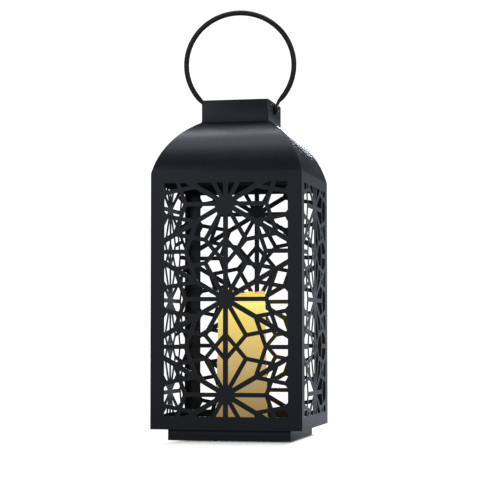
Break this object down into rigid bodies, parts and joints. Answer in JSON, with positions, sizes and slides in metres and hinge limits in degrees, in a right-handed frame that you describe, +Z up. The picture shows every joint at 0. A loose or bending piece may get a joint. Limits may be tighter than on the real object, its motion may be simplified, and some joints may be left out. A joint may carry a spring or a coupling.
{
  "type": "square lattice lantern",
  "caption": "Square sheet-metal lantern with star lattice walls, a curved roof, a square neck with a swinging ring handle, and a battery candle switched from below",
  "frame": {"origin": "middle of the footprint, on the surface that the lantern stands on", "axes": "+Z up, -Y to the front, which the picture shows, +X to the right of that front. The handle swings about X."},
  "size_m": [0.152, 0.152, 0.436],
  "materials": {
    "black_steel": "satin black powder coat",
    "wax": "translucent ivory wax",
    "pale_plastic": "moulded",
    "black_plastic": "moulded",
    "battery_jacket": "printed film",
    "contact_steel": "nickel plated spring steel",
    "zinc_steel": "zinc plated",
    "green_board": "lacquered",
    "lamp_lens": "clear amber epoxy",
    "red_insulation": "matt",
    "white_insulation": "matt",
    "black_insulation": "matt"
  },
  "bodies": {
    "housing": {"panel_front": "black_steel", "panel_right": "black_steel", "panel_back": "black_steel", "panel_left": "black_steel", "roof_right": "black_steel", "roof_back": "black_steel", "roof_left": "black_steel", "roof_front": "black_steel", "cap_sleeve": "black_steel", "cap_lid": "black_steel", "rivet_right": "black_steel", "rivet_left": "black_steel", "floor_pan": "black_steel", "plinth_skirt": "black_steel", "candle_shell": "wax", "candle_base": "pale_plastic", "battery_1": "battery_jacket", "battery_2": "battery_jacket", "contact_positive": "contact_steel", "contact_negative": "contact_steel", "switch_body": "black_plastic", "led_post": "pale_plastic", "led_board": "green_board", "led": "lamp_lens", "wire_positive": "red_insulation", "wire_switched": "white_insulation", "wire_negative": "black_insulation", "base_screw_1": "zinc_steel", "base_screw_2": "zinc_steel", "base_screw_3": "zinc_steel"},
    "ring": {"handle_ring": "black_steel"},
    "cover": {"battery_cover": "pale_plastic", "bridge_contact": "contact_steel"},
    "slider": {"switch_slider": "black_plastic"}
  },
  "joints": [
    {"name": "ring_swing", "type": "hinge", "parent": "housing", "child": "ring", "pos_m": [0, 0, 0.334], "axis": [1, 0, 0], "range_deg": [-124, 108]},
    {"name": "cover_hinge", "type": "hinge", "parent": "housing", "child": "cover", "pos_m": [0, 0.00495, 0.014], "axis": [1, 0, 0], "range_deg": [0, 95]},
    {"name": "switch_slide", "type": "slide", "parent": "housing", "child": "slider", "axis": [1, 0, 0], "range_m": [0, 0.004]}
  ]
}
